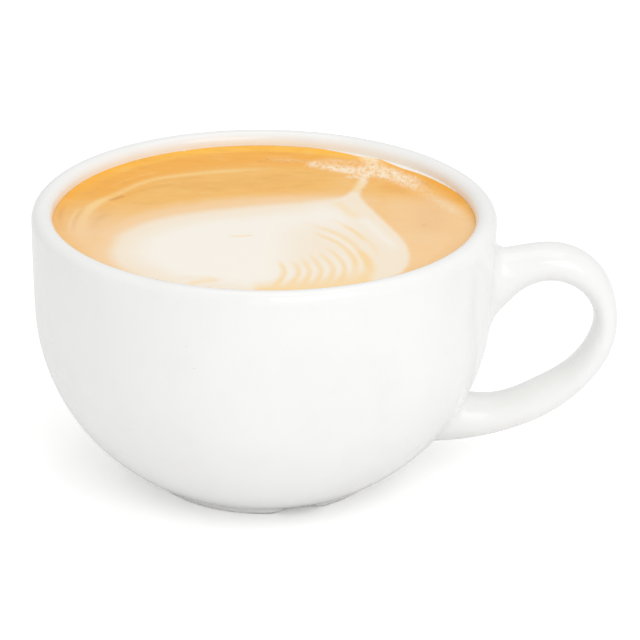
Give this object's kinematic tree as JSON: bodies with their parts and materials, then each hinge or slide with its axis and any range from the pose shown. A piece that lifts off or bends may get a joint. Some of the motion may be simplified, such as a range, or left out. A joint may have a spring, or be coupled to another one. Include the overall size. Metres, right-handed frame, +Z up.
{
  "type": "cup of cappuccino",
  "caption": "Round white ceramic cup with an ear-shaped handle, filled nearly to the lip with cappuccino: tan crema and a poured figure of milk foam.",
  "frame": {"origin": "on the ground under the middle of the whole, handle included; the cup's own axis stands 14.22 mm towards -X from it", "axes": "+Z up, +X from the cup towards its handle, -Y towards the side from which the drink's figure is seen the right way round"},
  "size_m": [0.1334, 0.105, 0.0647],
  "materials": {
    "glaze": "white, clear glossy glaze over an even body, bare and slightly rough on the foot ring's ground face",
    "drink": "wet fine foam with a soft sheen: orange-tan crema, paler beige round an off-white milk figure"
  },
  "bodies": {
    "root": {"cup": "glaze", "drink": "drink"}
  },
  "joints": []
}
